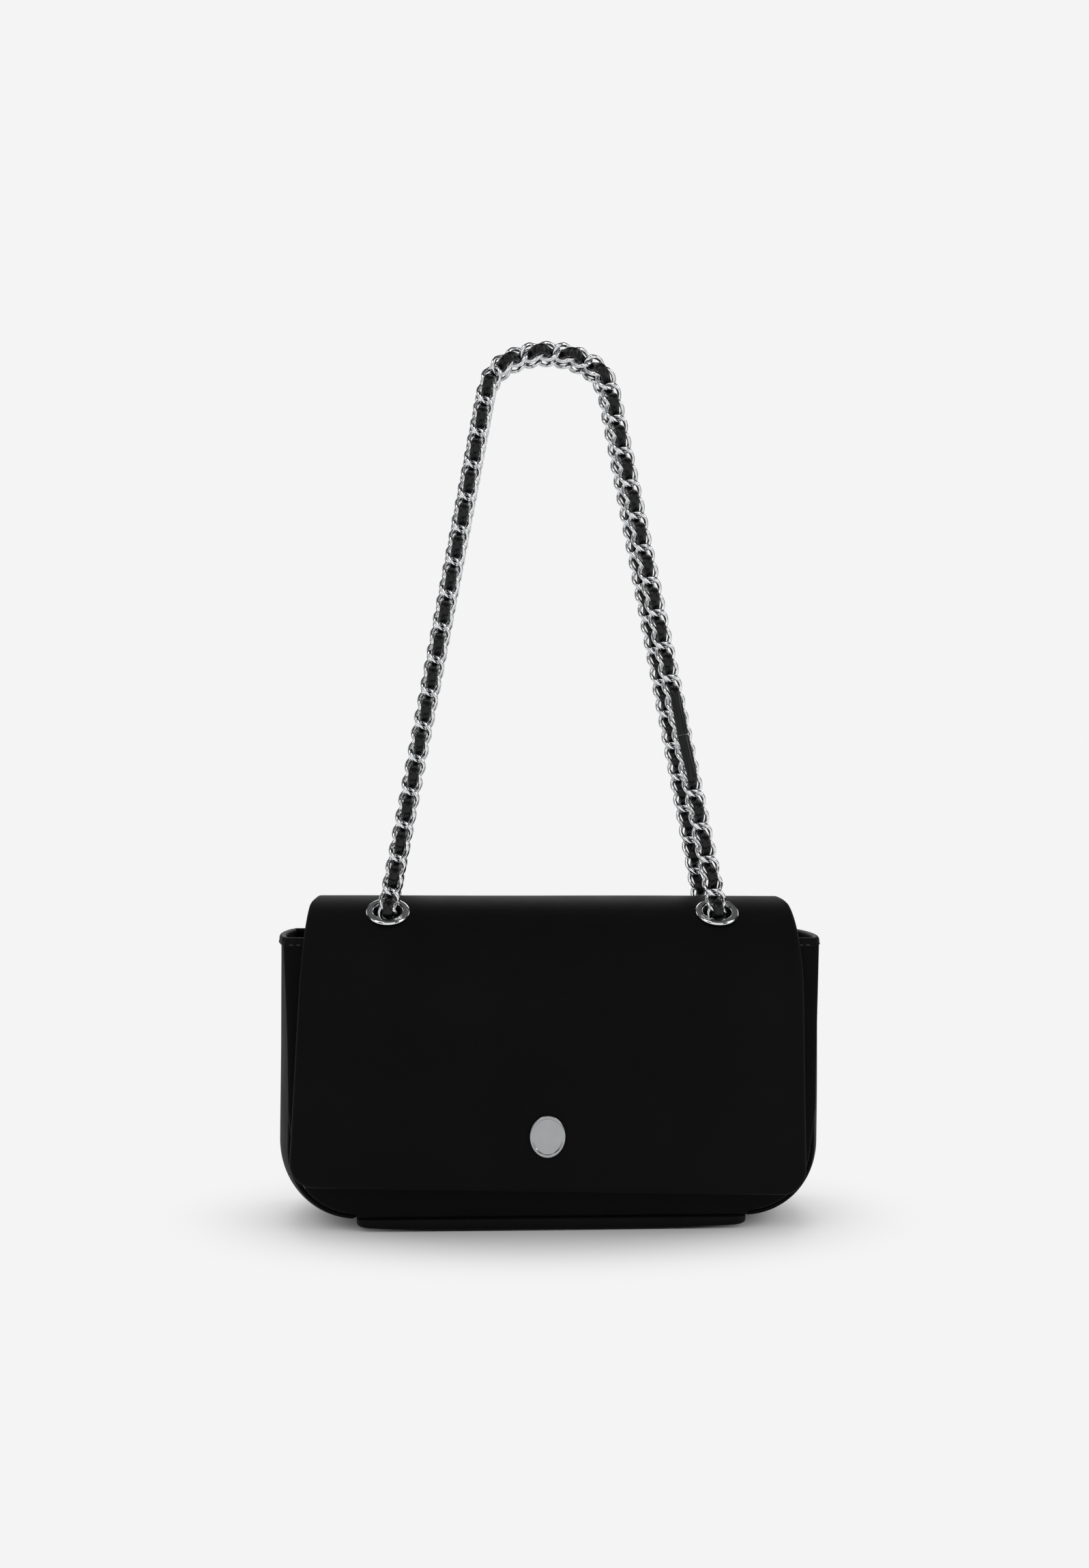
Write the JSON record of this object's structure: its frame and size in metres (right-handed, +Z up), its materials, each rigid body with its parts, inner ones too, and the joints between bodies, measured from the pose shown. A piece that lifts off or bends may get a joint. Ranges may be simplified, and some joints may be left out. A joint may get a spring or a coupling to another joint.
{
  "type": "chain shoulder bag",
  "caption": "Flap shoulder bag of black leather with a leather-laced chain strap run doubled through eyelets, a magnetic snap and a zipped inner pocket.",
  "frame": {"origin": "on the ground, under the middle of the bag's body", "axes": "+X to the right as seen from the front, -Y out of the front, +Z up"},
  "size_m": [0.2502, 0.0864, 0.4058],
  "materials": {
    "black_leather": "matte, fine grain",
    "edge_leather": "matte, folded edge",
    "lace_leather": "smooth, slightly glossy",
    "lining_cloth": "fine grey cloth",
    "zip_cloth": "woven tape",
    "foam": "soft padding",
    "board": "pressed fibre board",
    "bright_metal": "polished"
  },
  "bodies": {
    "bag": {"front_panel": "black_leather", "back_panel": "black_leather", "side_gusset_left": "black_leather", "side_gusset_right": "black_leather", "base_panel": "edge_leather", "base_board": "board", "lining": "lining_cloth", "hem_front": "edge_leather", "hem_back": "edge_leather", "hem_left": "edge_leather", "hem_right": "edge_leather", "flap_anchor": "black_leather", "snap_socket": "bright_metal", "pocket_panel": "lining_cloth", "zip_tapes": "zip_cloth", "zip_teeth": "bright_metal", "zip_stops": "bright_metal"},
    "flap": {"flap_cover": "black_leather", "flap_foam": "foam", "flap_lining": "lining_cloth", "badge": "bright_metal", "snap_stud": "bright_metal", "eyelet_front_left": "bright_metal", "eyelet_front_right": "bright_metal", "eyelet_back_left": "bright_metal", "eyelet_back_right": "bright_metal", "eyelet_washers": "bright_metal", "flap_chain_left": "bright_metal", "flap_chain_right": "bright_metal", "flap_lace_left": "lace_leather", "flap_lace_right": "lace_leather"},
    "front_strand": {"front_chain": "bright_metal", "front_lace": "lace_leather"},
    "back_strand": {"back_chain": "bright_metal", "back_lace": "lace_leather"},
    "slider": {"zip_slider": "bright_metal"},
    "pull": {"zip_pull": "bright_metal"}
  },
  "joints": [
    {"name": "flap_hinge", "type": "hinge", "parent": "bag", "child": "flap", "pos_m": [0, 0.03878, 0.09576], "axis": [-1, 0, 0], "range_deg": [0, 110]},
    {"name": "front_strand_swing", "type": "hinge", "parent": "flap", "child": "front_strand", "pos_m": [0, -0.02304, 0.14365], "axis": [1, 0, 0], "range_deg": [0, 78]},
    {"name": "back_strand_swing", "type": "hinge", "parent": "flap", "child": "back_strand", "pos_m": [0, 0.02304, 0.14365], "axis": [1, 0, 0], "range_deg": [-58, 0]},
    {"name": "zip_slide", "type": "slide", "parent": "bag", "child": "slider", "axis": [1, 0, 0], "range_m": [0, 0.1164]},
    {"name": "zip_pull_swing", "type": "hinge", "parent": "slider", "child": "pull", "pos_m": [-0.0582, 0.02251, 0.09905], "axis": [-1, 0, 0], "range_deg": [0, 100]}
  ]
}
